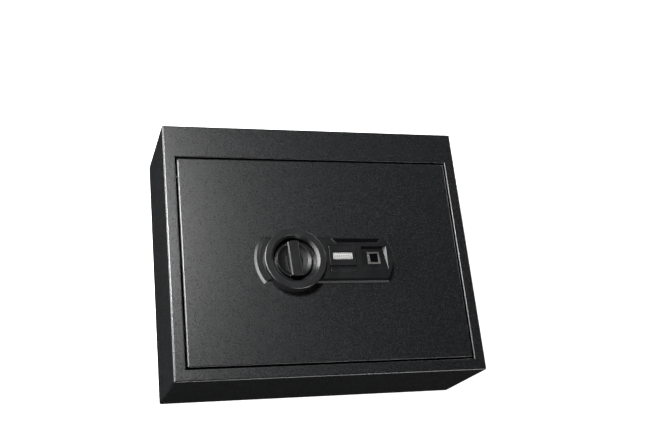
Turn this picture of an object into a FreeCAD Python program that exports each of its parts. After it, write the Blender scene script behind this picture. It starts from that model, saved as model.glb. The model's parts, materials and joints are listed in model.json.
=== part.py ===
import FreeCAD, Part
import math
import os
import re
import Sketcher

# Drawer gun safe lying on its back: steel case, drop-in lid hinged near its rear edge, and a
# fingerprint lock whose knob drives two bolts into the front of the opening.
# Millimetres. Origin at the centre of the underside, X across the width, Y to the hinge side,
# Z up through the lid.

DIMENSIONS = {
    # case
    "width": 350, "depth": 290, "height": 114, "wall": 2, "edge_round": 2,
    "open_width": 324, "open_front": 132, "open_rear": 107, "open_round": 1.2, "fold_deep": 22,
    "mount_across": 230, "mount_along": 170, "mount_hole": 4.5, "liner": 10, "liner_gap": 1,
    "stop_thick": 2, "stop_reach": 10, "stop_upright": 5, "stop_rear": 68.5,
    "bumper_round": 3, "bumper_across": 60, "bumper_side": 156,
    # lid and hinge
    "lid_gap": 2, "lid_skin": 2.5, "lid_wall": 2, "lid_deep": 20, "lid_round": 1.5,
    "hinge_y": 85, "hinge_z": 106, "pin_radius": 3, "pin_fit": 0.05, "pin_head": 5,
    "plate_thick": 2, "plate_half": 12, "plate_low": 96, "bracket_thick": 4,
    # lock panel on the lid
    "panel_y": -15, "panel_arc_x": 37.8, "panel_base": 3, "panel_high": 8,
    "base_radius": 43.7, "base_half": 26.8, "base_radius_top": 41.4, "base_half_top": 25.2,
    "tier_radius": 40.3, "tier_half": 24.8, "tier_radius_top": 38.8, "tier_half_top": 23.8,
    
    # guard ring and knob
    "knob_x": -37.8, "knob_y": -16.8, "ring_radius": 35, "ring_shoulder": 34.7, "ring_rim": 34,
    "ring_flat": 27.4, "ring_bore": 24.5, "ring_floor": 3.5, "ring_high": 13, "ring_side": 12.3,
    "ring_lip": 10, "ring_round": 0.3, "ring_gap": 0.15,
    "knob_radius": 20.4, "knob_low": 4.2, "knob_edge": 7.4, "knob_dish": 5, "knob_top": 14,
    "knob_rim": 1.6, "knob_slope": 5, "knob_hollow": 10, "knob_round": 0.5, "socket_top": 9,
    "grip_left": 7.4, "grip_right": 5.4, "grip_inset": 0.3, "grip_flare": 0.9, "grip_turn": 3.5,
    "grip_round": 0.4, "grip_bevel": 1.2,
    "spindle_radius": 4, "spindle_end": 3, "bush_radius": 6, "bush_flange": 9, "bush_thick": 1.5,
    # crank and bolt work
    "disc_low": 105, "disc_high": 109, "disc_radius": 18, "crank_arm": 9, "crank_pin_radius": 2.5,
    "notch_deep": 5, "notch_wide": 7.2, "crank_pin_low": 97.5, "nut_low": 102, "nut_flats": 10,
    "carriage_low": 98.5, "carriage_thick": 2.5, "carriage_half": 115,
    "carriage_front": -97, "carriage_rear": -66, "tongue_left": -56, "tongue_right": -22,
    "tongue_rear": 2, "carriage_lip": 109.5, "yoke_wide": 5.8, "yoke_left": -52, "yoke_right": -39,
    "bolt_x": 100, "bolt_z": 104, "bolt_radius": 5, "bolt_hole": 6, "bolt_tip": -128.7,
    "bolt_thread": 2.5, "bolt_nut": 4, "stud_radius": 4, "stud_fit": 0.1, "stud_x": 70,
    "stud_y": -88, "rear_stud_y": -50, "rear_stud_x": -39, "stud_head": 6, "washer_radius": 7,
    # solenoid behind the crank disc
    "coil_front": 9, "coil_rear": 33, "coil_radius": 4.4, "coil_z": 107, "frame_half": 8,
    "frame_thick": 2, "frame_low": 100.6, "plunger_radius": 2, "plunger_tip": 2.2,
    "plunger_tail": 41.5, "plunger_collar": 3.5,
    # key lock and its cover
    "key_x": 17.25, "key_y": -15.75, "barrel_radius": 8, "barrel_head": 9.5, "plug_radius": 5,
    "barrel_low": 99.5, "cam_low": 96.9, "cam_high": 99, "cam_reach": 20, "cam_wide": 9,
    "cover_wide": 30.5, "cover_long": 30.5, "cover_top": 8.5, "cover_skin": 3, "cover_gap": 0.4,
    "cover_wall": 2, "cover_round": 0.6, "cover_step": 1.6, "step_rear": 7, "step_front": 3,
    "rib_pitch": 1.7, "rib_radius": 0.55, "badge_wide": 22.4, "badge_long": 7.4, "badge_x": 17.5,
    "badge_y": -13.2, "badge_thick": 1, "badge_sunk": 0.8, "badge_fit": 0.2, "badge_gap": 1.6,
    "badge_round": 0.8,
    # fingerprint reader and status window
    "reader_left": 40, "reader_right": 70, "reader_front": -29, "reader_rear": -1.5,
    "reader_deep": 4.4, "reader_lean": 0.75, "rear_lean": 0.25,
    "bezel_x": 54.45, "bezel_wide": 13.7, "bezel_long": 15, "bezel_high": 1.4, "bezel_rim": 1.9,
    "glass_high": 0.8, "glass_deep": 2.8,
    "window_left": 6.5, "window_right": 65.5, "window_front": 3.5, "window_rear": 9.4,
    "window_slope": 5.5, "window_chamfer": 1.6, "lens_high": 1.2,
    # inside of the lid
    "inner_low": 94, "inner_thick": 1.5, "inner_gap": 0.5, "post_radius": 3.5, "screw_radius": 1.5,
    "screw_head": 3.2, "tray_left": 54, "tray_right": 116, "tray_front": 13, "tray_rear": 77,
    "tray_low": 96, "tray_wall": 2, "cell_radius": 7.1, "cell_long": 49, "cell_pitch": 15,
    "cell_z": 103.4, "door_margin": 2, "door_thick": 1.2, "door_low": 92.6, "rail_end": 150,
    "board_left": -15, "board_right": 45, "board_front": 16, "board_rear": 78, "board_low": 105.5,
    "board_thick": 1.6, "button_x": 20, "button_y": 62, "button_radius": 3.4,
}

# Levels and lines that follow from the driving dimensions.
LID_UNDER = "height - lid_skin"
LID_HALF = "open_width / 2 - lid_gap"
LID_FRONT = "-open_front + lid_gap"
LID_REAR = "open_rear - lid_gap"
LID_LOW = "height - lid_deep"
FOLD_LOW = "height - fold_deep"
INNER_TOP = "inner_low + inner_thick"
PANEL_TOP = "height + panel_high"
PANEL_LEDGE = "height + panel_base"
CARRIAGE_TOP = "carriage_low + carriage_thick"
COVER_LEFT = "key_x - cover_wide / 2"
COVER_RIGHT = "key_x + cover_wide / 2"
COVER_FRONT = "key_y - cover_long / 2"
COVER_REAR = "key_y + cover_long / 2"
COVER_HIGH = "height + cover_top"
BOLT_TRAVEL = "crank_arm * sqrt(2)"
READER_TILT = "atan(reader_deep / (reader_rear - reader_deep * rear_lean - reader_front))"

UP = FreeCAD.Vector(0, 0, 1)
TURNED = {
    "x": FreeCAD.Rotation(FreeCAD.Vector(0, 1, 0), 90),
    "y": FreeCAD.Rotation(FreeCAD.Vector(1, 0, 0), -90),
    "z": FreeCAD.Rotation(),
}

doc = FreeCAD.newDocument("gun_safe")
sizes = doc.addObject("Spreadsheet::Sheet", "sizes")
for row, (alias, number) in enumerate(DIMENSIONS.items(), start=1):
    sizes.set("A%d" % row, alias)
    sizes.set("B%d" % row, str(number))
    sizes.setAlias("B%d" % row, alias)
doc.recompute()
ALIAS = re.compile(r"\b(%s)\b" % "|".join(sorted(DIMENSIONS, key=len, reverse=True)))
nodes = []


# ---------------------------------------------------------------- helpers

def bound(expression):
    """Expression text with each dimension's name pointed at the spreadsheet."""
    return ALIAS.sub(r"sizes.\1", str(expression))


def value(expression):
    """Present number of an expression."""
    result = nodes_probe.evalExpression(bound(expression))
    return float(getattr(result, "Value", result))


nodes_probe = doc.addObject("App::FeaturePython", "probe")


def bind(thing, **properties):
    for name, expression in properties.items():
        thing.setExpression(name, bound(expression))
    return thing


def place(thing, x, y, z):
    for letter, expression in zip("xyz", (x, y, z)):
        thing.setExpression("Placement.Base." + letter, bound(expression))
    return thing


def node(thing, label):
    """Register a finished sub-part: its label is also its file's name."""
    thing.Label = label
    nodes.append(thing)
    return thing


def block(name, x, y, z):
    """Box between the pairs of limits x, y and z."""
    thing = doc.addObject("Part::Box", name)
    for size, (low, high) in zip(("Length", "Width", "Height"), (x, y, z)):
        thing.setExpression(size, bound("(%s) - (%s)" % (high, low)))
    return place(thing, x[0], y[0], z[0])


def rod(name, start, radius, length, along="z"):
    """Cylinder from its start point along an axis."""
    thing = doc.addObject("Part::Cylinder", name)
    thing.Placement = FreeCAD.Placement(FreeCAD.Vector(), TURNED[along])
    bind(thing, Radius=radius, Height=length)
    return place(thing, *start)


def post(name, x, y, low, high, radius):
    """Upright cylinder between two levels."""
    return rod(name, (x, y, low), radius, "(%s) - (%s)" % (high, low))


def hexagon(name, start, flats, length, along="z"):
    """Hexagonal prism given by its width across flats."""
    thing = doc.addObject("Part::Prism", name)
    thing.Placement = FreeCAD.Placement(FreeCAD.Vector(), TURNED[along])
    bind(thing, Circumradius="(%s) / sqrt(3)" % flats, Height=length)
    return place(thing, *start)


def fuse(name, *things):
    joined = doc.addObject("Part::MultiFuse", name)
    joined.Shapes = list(things)
    return joined


def cut(name, base, *tools):
    result = doc.addObject("Part::Cut", name)
    result.Base = base
    result.Tool = tools[0] if len(tools) == 1 else fuse(name + "_tools", *tools)
    return result


def group(name, *things):
    """Separate equal pieces that share one node."""
    together = doc.addObject("Part::Compound", name)
    together.Links = list(things)
    return together


def new_body(name):
    return doc.addObject("PartDesign::Body", name)


def sketch_on(body, role, offset="0"):
    """Sketch on an origin plane of its own body, moved along the plane's normal."""
    flat = body.newObject("Sketcher::SketchObject", body.Name + "_sketch")
    plane = next(item for item in body.Origin.OriginFeatures if item.Role == role)
    flat.AttachmentSupport = [(plane, "")]
    flat.MapMode = "FlatFace"
    flat.setExpression("AttachmentOffset.Base.z", bound(offset))
    return flat


def pin_point(flat, geometry, position, point):
    """Fix a sketch point's bound coordinates; a coordinate of None stays free."""
    for kind, expression in zip(("DistanceX", "DistanceY"), point):
        if expression is None:
            continue
        number = value(expression)
        index = flat.addConstraint(Sketcher.Constraint(kind, -1, 1, geometry, position, number))
        flat.renameConstraint(index, "size%d" % index)
        flat.setExpression("Constraints.size%d" % index, bound(expression))


def polygon(flat, points):
    """Closed straight-sided outline whose corners are bound to the sheet."""
    first = flat.GeometryCount
    corners = [FreeCAD.Vector(value(x), value(y), 0) for x, y in points]
    count = len(corners)
    for index in range(count):
        line = Part.LineSegment(corners[index], corners[(index + 1) % count])
        flat.addGeometry(line, False)
    for index in range(count):
        following = first + (index + 1) % count
        flat.addConstraint(Sketcher.Constraint("Coincident", first + index, 2, following, 1))
    for index in range(count):
        pin_point(flat, first + index, 1, points[index])
    return flat


def rectangle(flat, x, y):
    return polygon(flat, [(x[0], y[0]), (x[1], y[0]), (x[1], y[1]), (x[0], y[1])])


def circle(flat, radius):
    """Circle about the sketch's origin."""
    index = flat.addGeometry(Part.Circle(FreeCAD.Vector(), UP, value(radius)), False)
    flat.addConstraint(Sketcher.Constraint("Coincident", index, 3, -1, 1))
    size = flat.addConstraint(Sketcher.Constraint("Radius", index, value(radius)))
    flat.renameConstraint(size, "radius%d" % size)
    flat.setExpression("Constraints.radius%d" % size, bound(radius))
    return flat


def pad(body, flat, length, both_ways=False):
    feature = body.newObject("PartDesign::Pad", body.Name + "_pad")
    feature.Profile = flat
    feature.Midplane = both_ways
    flat.Visibility = False
    bind(feature, Length=length)
    doc.recompute()
    return feature


def pocket(body, flat, length, upward=False, both_ways=False):
    """Cut downwards from the sketch, or upwards, and make sure that metal was removed."""
    before = body.Shape.Volume
    feature = body.newObject("PartDesign::Pocket", body.Name + "_pocket")
    feature.Profile = flat
    feature.Reversed = upward
    feature.Midplane = both_ways
    bind(feature, Length=length)
    doc.recompute()
    if body.Shape.Volume > before - 1e-6:
        raise RuntimeError("pocket of %s cuts nothing" % body.Name)
    return feature


def revolve(body, flat):
    feature = body.newObject("PartDesign::Revolution", body.Name + "_revolution")
    feature.Profile = flat
    feature.ReferenceAxis = (flat, ["V_Axis"])
    doc.recompute()
    return feature


def loft(body, lower, upper):
    feature = body.newObject("PartDesign::AdditiveLoft", body.Name + "_loft")
    feature.Profile = lower
    feature.Sections = [upper]
    feature.Ruled = True
    doc.recompute()
    return feature


def fillet(body, radius, wanted):
    """Round every edge of the body's present shape that passes the test."""
    tip = body.Tip
    names = ["Edge%d" % (i + 1) for i, edge in enumerate(tip.Shape.Edges) if wanted(edge)]
    feature = body.newObject("PartDesign::Fillet", body.Name + "_fillet")
    feature.Base = (tip, names)
    bind(feature, Radius=radius)
    doc.recompute()
    return feature


def chamfer(body, size, wanted):
    """Cut back every edge of the body's present shape that passes the test."""
    tip = body.Tip
    names = ["Edge%d" % (i + 1) for i, edge in enumerate(tip.Shape.Edges) if wanted(edge)]
    feature = body.newObject("PartDesign::Chamfer", body.Name + "_chamfer")
    feature.Base = (tip, names)
    bind(feature, Size=size)
    doc.recompute()
    return feature


def level(edge, z, slack=0.01):
    """True for an edge that lies at one height."""
    box = edge.BoundBox
    return abs(box.ZMin - z) < slack and abs(box.ZMax - z) < slack


def turned_part(name, profile, x, y, z="0"):
    """Body of revolution about an upright axis at x, y; the profile holds (radius, height)."""
    body = new_body(name)
    revolve(body, polygon(sketch_on(body, "XZ_Plane"), profile))
    return place(body, x, y, z)


# ---------------------------------------------------------------- case

def case_shell():
    """Pan of four walls and a top frame, and the strips folded down along the frame's opening."""
    body = new_body("case_blank")
    outline = (("-width / 2", "width / 2"), ("-depth / 2", "depth / 2"))
    pad(body, rectangle(sketch_on(body, "XY_Plane"), *outline), "height")
    top = value("height")
    fillet(body, "edge_round", lambda edge: level(edge, top) or edge.BoundBox.ZLength > top / 2)
    inside = (("-width / 2 + wall", "width / 2 - wall"), ("-depth / 2 + wall", "depth / 2 - wall"))
    pocket(body, rectangle(sketch_on(body, "XY_Plane"), *inside), "height - wall", upward=True)
    opening = (("-open_width / 2", "open_width / 2"), ("-open_front", "open_rear"))
    pocket(body, rectangle(sketch_on(body, "XY_Plane", "height"), *opening), "wall")
    half = value("open_width / 2") + 0.01
    front = value("open_front") + 0.01
    fillet(body, "open_round", lambda edge: level(edge, top) and edge.BoundBox.XMax < half
           and edge.BoundBox.XMin > -half and edge.BoundBox.YMin > -front)
    node(body, "case_shell")
    fold = new_body("fold_blank")
    flat = sketch_on(fold, "XY_Plane", FOLD_LOW)
    rectangle(flat, *opening)
    rectangle(flat, ("-open_width / 2 - wall", "open_width / 2 + wall"),
              ("-open_front - wall", "open_rear + wall"))
    pad(fold, flat, "fold_deep - wall")
    holes = [rod("bolt_hole", (x, "-open_front - wall * 1.5", "bolt_z"), "bolt_hole", "wall * 2", "y")
             for x in ("-bolt_x", "bolt_x")]
    holes += [rod("pin_hole", (x, "hinge_y", "hinge_z"), "pin_radius", "wall * 2", "x")
              for x in ("-open_width / 2 - wall * 1.5", "open_width / 2 - wall / 2")]
    node(cut("opening_fold", fold, *holes), "opening_fold")


def mount_posts(name, low, high, radius):
    """Four upright cylinders on the mounting holes."""
    return [post(name, "mount_across / 2 * %d" % i, "mount_along / 2 * %d" % j, low, high, radius)
            for i in (-1, 1) for j in (-1, 1)]


def floor_parts():
    plate = block("base_blank", ("-width / 2 + wall", "width / 2 - wall"),
                  ("-depth / 2 + wall", "depth / 2 - wall"), ("0", "wall"))
    node(cut("base_plate", plate, *mount_posts("base_hole", "-wall", "wall * 2", "mount_hole")),
         "base_plate")
    mat = block("liner_blank", ("-width / 2 + wall + liner_gap", "width / 2 - wall - liner_gap"),
                ("-depth / 2 + wall + liner_gap", "depth / 2 - wall - liner_gap"),
                ("wall", "wall + liner"))
    node(cut("floor_liner", mat, *mount_posts("liner_hole", "0", "height", "mount_hole * 2")),
         "floor_liner")


def lid_stops():
    """Angle strips under the opening's edge, and the rubber bumpers that the lid rests on."""
    low = FOLD_LOW + " - stop_thick"
    outer = "open_width / 2 + wall + stop_thick"
    across = ("-open_width / 2 + stop_reach * 1.2", "open_width / 2 - stop_reach * 1.2")
    ledge = block("front_ledge", across,
                  ("-open_front - wall - stop_thick", "-open_front + stop_reach"), (low, FOLD_LOW))
    upright = block("front_upright", across,
                    ("-open_front - wall - stop_thick", "-open_front - wall"),
                    (FOLD_LOW, FOLD_LOW + " + stop_upright"))
    node(fuse("front_stop", ledge, upright), "front_stop")
    along = ("-open_front + stop_reach * 1.2", "stop_rear")
    for side, sign in (("left", -1), ("right", 1)):
        edges = sorted(("%d * (%s)" % (sign, outer), "%d * (open_width / 2 - stop_reach)" % sign),
                       key=value)
        ledge = block(side + "_ledge", edges, along, (low, FOLD_LOW))
        edges = sorted(("%d * (%s)" % (sign, outer), "%d * (open_width / 2 + wall)" % sign), key=value)
        upright = block(side + "_upright", edges, along, (FOLD_LOW, FOLD_LOW + " + stop_upright"))
        node(fuse(side + "_stop", ledge, upright), side + "_stop")
    spots = [("-bumper_across", LID_FRONT + " + 3.5"), ("bumper_across", LID_FRONT + " + 3.5"),
             ("-bumper_side", "0"), ("bumper_side", "0")]
    pads = [post("bumper", x, y, FOLD_LOW, LID_LOW, "bumper_round") for x, y in spots]
    node(group("bumpers", *pads), "bumpers")


def hinges():
    """Bracket on the case, plate in the lid and headed pin, on each side."""
    for side, sign in (("left", -1), ("right", 1)):
        def span(near, far):
            return sorted(("%d * (%s)" % (sign, near), "%d * (%s)" % (sign, far)), key=value)

        def bore(name, near, far, radius):
            start, end = span(near, far)
            return rod(name, (start, "hinge_y", "hinge_z"), radius, "(%s) - (%s)" % (end, start), "x")

        ahead = ("hinge_y - plate_half", "hinge_y + plate_half")
        flange = "open_width / 2 + wall"
        bracket = block(side + "_bracket_blank", span(flange, flange + " + bracket_thick"),
                        ahead, ("plate_low", "height - wall"))
        hole = bore(side + "_bracket_hole", flange, flange + " + bracket_thick", "pin_radius")
        node(cut(side + "_hinge_bracket", bracket, hole), side + "_hinge_bracket")
        inner = LID_HALF + " - lid_wall"
        plate = block(side + "_plate_blank", span(inner + " - plate_thick", inner),
                      ahead, ("plate_low", LID_UNDER))
        hole = bore(side + "_plate_hole", inner + " - plate_thick", inner, "pin_radius + pin_fit")
        node(cut(side + "_hinge_plate", plate, hole), side + "_hinge_plate")
        collar = inner + " - plate_thick - 0.2"
        shank = bore(side + "_pin_shank", collar, flange + " + bracket_thick + 1.5", "pin_radius")
        head = bore(side + "_pin_head", collar + " - 2", collar, "pin_head")
        node(fuse(side + "_hinge_pin", shank, head), side + "_hinge_pin")


# ---------------------------------------------------------------- lid

PANEL_SCREWS = [("-68.8", "4"), ("0", "5"), ("0", "-36.5"), ("73", "panel_y")]
RING_SCREWS = [("knob_x + 29 * cos(%d)" % turn, "knob_y + 29 * sin(%d)" % turn)
               for turn in (60, 180, 300)]
CABLE_HOLE = ("bezel_x", "(reader_front + reader_rear) / 2")
POSTS = [("-148", "-118"), ("0", "-118"), ("148", "-118"), ("-148", "92"), ("0", "92"), ("148", "92")]


def lid_pan():
    body = new_body("lid_blank")
    outline = (("-(%s)" % LID_HALF, LID_HALF), (LID_FRONT, LID_REAR))
    pad(body, rectangle(sketch_on(body, "XY_Plane", LID_LOW), *outline), "lid_deep")
    top = value("height")
    deep = value("lid_deep")
    fillet(body, "lid_round", lambda edge: level(edge, top) or edge.BoundBox.ZLength > deep / 2)
    inside = (("-(%s) + lid_wall" % LID_HALF, LID_HALF + " - lid_wall"),
              (LID_FRONT + " + lid_wall", LID_REAR + " - lid_wall"))
    pocket(body, rectangle(sketch_on(body, "XY_Plane", LID_LOW), *inside), "lid_deep - lid_skin",
           upward=True)
    through = (LID_UNDER + " - 1", "height + 1")
    holes = [post("spindle_hole", "knob_x", "knob_y", *through, "bush_radius"),
             post("barrel_hole", "key_x", "key_y", *through, "barrel_radius"),
             post("cable_hole", *CABLE_HOLE, *through, "3")]
    holes += [post("screw_hole", x, y, *through, "screw_radius + 0.3")
              for x, y in PANEL_SCREWS + RING_SCREWS]
    holes += [rod("lid_bolt_hole", (x, LID_FRONT + " - 1", "bolt_z"), "bolt_hole", "lid_wall + 2", "y")
              for x in ("-bolt_x", "bolt_x")]
    holes += [rod("lid_pin_hole", (x, "hinge_y", "hinge_z"), "pin_radius + pin_fit", "lid_wall + 2", "x")
              for x in ("-(%s) - 1" % LID_HALF, LID_HALF + " - lid_wall - 1")]
    node(cut("lid_pan", body, *holes), "lid_pan")


def panel_outline(body, z, radius, half):
    """Strip with two long straight sides and two shallow round ends."""
    flat = sketch_on(body, "XY_Plane", z)
    around, side, centre = value(radius), value(half), value("panel_arc_x")
    lean = math.asin(side / around)
    middle = value("panel_y")
    reach = centre + around * math.cos(lean)
    corner = [FreeCAD.Vector(sx * reach, middle + sy * side, 0)
              for sx, sy in ((-1, -1), (1, -1), (1, 1), (-1, 1))]
    right = Part.Circle(FreeCAD.Vector(centre, middle, 0), UP, around)
    left = Part.Circle(FreeCAD.Vector(-centre, middle, 0), UP, around)
    flat.addGeometry(Part.LineSegment(corner[0], corner[1]), False)
    flat.addGeometry(Part.ArcOfCircle(right, -lean, lean), False)
    flat.addGeometry(Part.LineSegment(corner[2], corner[3]), False)
    flat.addGeometry(Part.ArcOfCircle(left, math.pi - lean, math.pi + lean), False)
    for index in range(4):
        flat.addConstraint(Sketcher.Constraint("Coincident", index, 2, (index + 1) % 4, 1))
    reach_text = "panel_arc_x + sqrt((%s)^2 - (%s)^2)" % (radius, half)
    pin_point(flat, 0, 1, ("-(%s)" % reach_text, "panel_y - %s" % half))
    pin_point(flat, 0, 2, (reach_text, "panel_y - %s" % half))
    pin_point(flat, 2, 1, (reach_text, "panel_y + %s" % half))
    pin_point(flat, 2, 2, ("-(%s)" % reach_text, "panel_y + %s" % half))
    pin_point(flat, 1, 3, ("panel_arc_x", None))
    pin_point(flat, 3, 3, ("-panel_arc_x", None))
    return flat


def window_outline(body, z, inset="0"):
    """Four-sided outline of the status window, wider at its rear."""
    slope = "window_slope"
    rear = "window_rear - 2 * (%s)" % inset if inset != "0" else "window_rear + 6"
    return polygon(sketch_on(body, "XY_Plane", z), [
        ("window_left + %s + %s" % (slope, inset), "window_front + %s" % inset),
        ("window_right - %s - %s" % (slope, inset), "window_front + %s" % inset),
        ("window_right - %s - %s + (%s - window_front)" % (slope, inset, rear), rear),
        ("window_left + %s + %s - (%s - window_front)" % (slope, inset, rear), rear)])


def lock_panel():
    """Two stepped tiers with bevelled sides, cut for the ring, key bay, reader and window."""
    body = new_body("panel_blank")
    loft(body, panel_outline(body, "height", "base_radius", "base_half"),
         panel_outline(body, PANEL_LEDGE, "base_radius_top", "base_half_top"))
    loft(body, panel_outline(body, PANEL_LEDGE, "tier_radius", "tier_half"),
         panel_outline(body, PANEL_TOP, "tier_radius_top", "tier_half_top"))
    top = value(PANEL_TOP)
    pocket(body, window_outline(body, PANEL_TOP), "panel_high - panel_base")
    near, far = value("window_front"), value("window_rear")
    chamfer(body, "window_chamfer", lambda edge: level(edge, top) and edge.BoundBox.YMin > near - 0.01
            and edge.BoundBox.YMax < far + 2 and edge.BoundBox.XMax < value("window_right") + 0.01)
    bay = (COVER_LEFT + " - cover_gap", COVER_RIGHT + " + cover_gap")
    bay_long = (COVER_FRONT + " - cover_gap", COVER_REAR + " + cover_gap")
    pocket(body, rectangle(sketch_on(body, "XY_Plane", PANEL_TOP), bay, bay_long),
           "panel_high - panel_base")
    cutters = [post("ring_seat", "knob_x", "knob_y", "height - 1", "height + 20",
                    "ring_radius + ring_gap"),
               post("key_seat", "key_x", "key_y", "height - 1", PANEL_LEDGE, "barrel_radius"),
               post("cable_way", *CABLE_HOLE, "height - 1", PANEL_LEDGE, "3")]
    cutters += [post("panel_thread", x, y, "height - 1", "height + 5", "screw_radius")
                for x, y in PANEL_SCREWS]
    cutters.append(reader_recess())
    cutters.append(tilted("glass_seat", "bezel_wide / 2 - bezel_rim", "bezel_long / 2 - bezel_rim",
                          ("-glass_deep - 0.2", "1")))
    node(cut("lock_panel", body, *cutters), "lock_panel")


def reader_recess():
    """Space of the finger recess: a floor that falls to the rear, and two leaning walls."""
    body = new_body("reader_recess")
    ramp = sketch_on(body, "YZ_Plane", "reader_left")
    polygon(ramp, [("reader_front", PANEL_TOP),
                   ("reader_rear - reader_deep * rear_lean", PANEL_TOP + " - reader_deep"),
                   ("reader_rear", PANEL_TOP), ("reader_rear", PANEL_TOP + " + 1"),
                   ("reader_front", PANEL_TOP + " + 1")])
    pad(body, ramp, "reader_right - reader_left")
    low = "%s - reader_deep * 2" % PANEL_TOP
    side = polygon(sketch_on(body, "XZ_Plane"), [
        ("reader_right", PANEL_TOP), ("reader_right - reader_deep * 2 * reader_lean", low),
        ("reader_right + 1", low), ("reader_right + 1", PANEL_TOP)])
    pocket(body, side, "(reader_rear - reader_front) * 4", both_ways=True)
    return body


def tilted(name, half_wide, half_long, z):
    """Block centred on the reader's bezel and lying along its sloping floor."""
    thing = doc.addObject("Part::Box", name)
    bind(thing, Length="2 * (%s)" % half_wide, Width="2 * (%s)" % half_long,
         Height="(%s) - (%s)" % (z[1], z[0]))
    middle = "(reader_front + reader_rear) / 2"
    floor = PANEL_TOP + " - (reader_rear - reader_front) / 2 * tan(%s)" % READER_TILT
    away_y = "(%s) * cos(%s) + (%s) * sin(%s)" % ("-(%s)" % half_long, READER_TILT, z[0], READER_TILT)
    away_z = "(%s) * sin(%s) + (%s) * cos(%s)" % (half_long, READER_TILT, z[0], READER_TILT)
    thing.Placement = FreeCAD.Placement(FreeCAD.Vector(), FreeCAD.Rotation(FreeCAD.Vector(1, 0, 0), 1))
    thing.setExpression("Placement.Rotation.Angle", bound("0 deg - (%s)" % READER_TILT))
    return place(thing, "bezel_x - (%s)" % half_wide, "%s + %s" % (middle, away_y),
                 "%s + %s" % (floor, away_z))


def reader():
    inner = ("bezel_wide / 2 - bezel_rim", "bezel_long / 2 - bezel_rim")
    frame = tilted("bezel_blank", "bezel_wide / 2", "bezel_long / 2", ("0", "bezel_high"))
    window = tilted("bezel_window", *inner, ("-1", "bezel_high + 1"))
    node(cut("reader_bezel", frame, window), "reader_bezel")
    node(tilted("reader_glass", *inner, ("-glass_deep", "glass_high")), "reader_glass")


def status_window():
    body = new_body("status_window")
    pad(body, window_outline(body, PANEL_LEDGE, "0.3"), "lens_high")
    node(body, "status_window")


def guard_ring():
    body = turned_part("ring_blank", [
        ("ring_radius", "0"), ("ring_shoulder", "ring_side"), ("ring_rim", "ring_high"),
        ("ring_flat", "ring_high"), ("ring_bore", "ring_lip"), ("ring_bore", "ring_floor"),
        ("bush_radius", "ring_floor"), ("bush_radius", "0")], "knob_x", "knob_y", "height")
    side, high = value("ring_side"), value("ring_high")
    fillet(body, "ring_round", lambda edge: level(edge, side) or level(edge, high))
    threads = [post("ring_thread", x, y, "height - 1", "height + 6", "screw_radius")
               for x, y in RING_SCREWS]
    node(cut("guard_ring", body, *threads), "guard_ring")


def screws(label, spots, head_low, head_high, tip):
    """Pan-head screws driven upwards from inside the lid."""
    made = []
    for x, y in spots:
        shank = post(label + "_shank", x, y, head_high, tip, "screw_radius")
        head = post(label + "_head", x, y, head_low, head_high, "screw_head")
        made.append(fuse(label + "_one", shank, head))
    node(group(label, *made), label)


# ---------------------------------------------------------------- knob and crank

def grip_bar():
    """Bar with flared feet whose two ends follow the knob's round rim."""
    body = new_body("grip_bar")
    profile = polygon(sketch_on(body, "XZ_Plane"), [
        ("-grip_left - grip_flare", "knob_low + wall / 10"),
        ("grip_right + grip_flare", "knob_low + wall / 10"),
        ("grip_right + grip_flare", "knob_dish"), ("grip_right", "knob_dish + grip_flare"),
        ("grip_right", "knob_top - grip_bevel"), ("grip_right - grip_bevel", "knob_top"),
        ("-grip_left + grip_bevel", "knob_top"), ("-grip_left", "knob_top - grip_bevel"),
        ("-grip_left", "knob_dish + grip_flare"), ("-grip_left - grip_flare", "knob_dish")])
    pad(body, profile, "knob_radius * 2", both_ways=True)
    ends = sketch_on(body, "XY_Plane")
    circle(ends, "knob_radius - grip_inset")
    circle(ends, "knob_radius * 2")
    pocket(body, ends, "knob_top + wall", upward=True)
    top = value("knob_top")
    fillet(body, "grip_round", lambda item: level(item, top))
    body.Placement = FreeCAD.Placement(FreeCAD.Vector(), FreeCAD.Rotation(UP, value("grip_turn")))
    return place(body, "knob_x", "knob_y", "height")


def turn_knob():
    """Dished disc with a grip bar standing across it."""
    body = turned_part("knob_blank", [
        ("0", "knob_low"), ("knob_radius", "knob_low"), ("knob_radius", "knob_edge"),
        ("knob_radius - knob_rim", "knob_edge"),
        ("knob_radius - knob_slope", "knob_dish + grip_flare"),
        ("knob_radius - knob_hollow", "knob_dish + grip_flare / 6"),
        ("0", "knob_dish")], "knob_x", "knob_y", "height")
    edge = value("knob_edge")
    fillet(body, "knob_round", lambda item: level(item, edge))
    socket = post("knob_socket", "knob_x", "knob_y", "height", "height + socket_top",
                  "spindle_radius")
    node(cut("turn_knob", fuse("knob_solid", body, grip_bar()), socket), "turn_knob")


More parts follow.
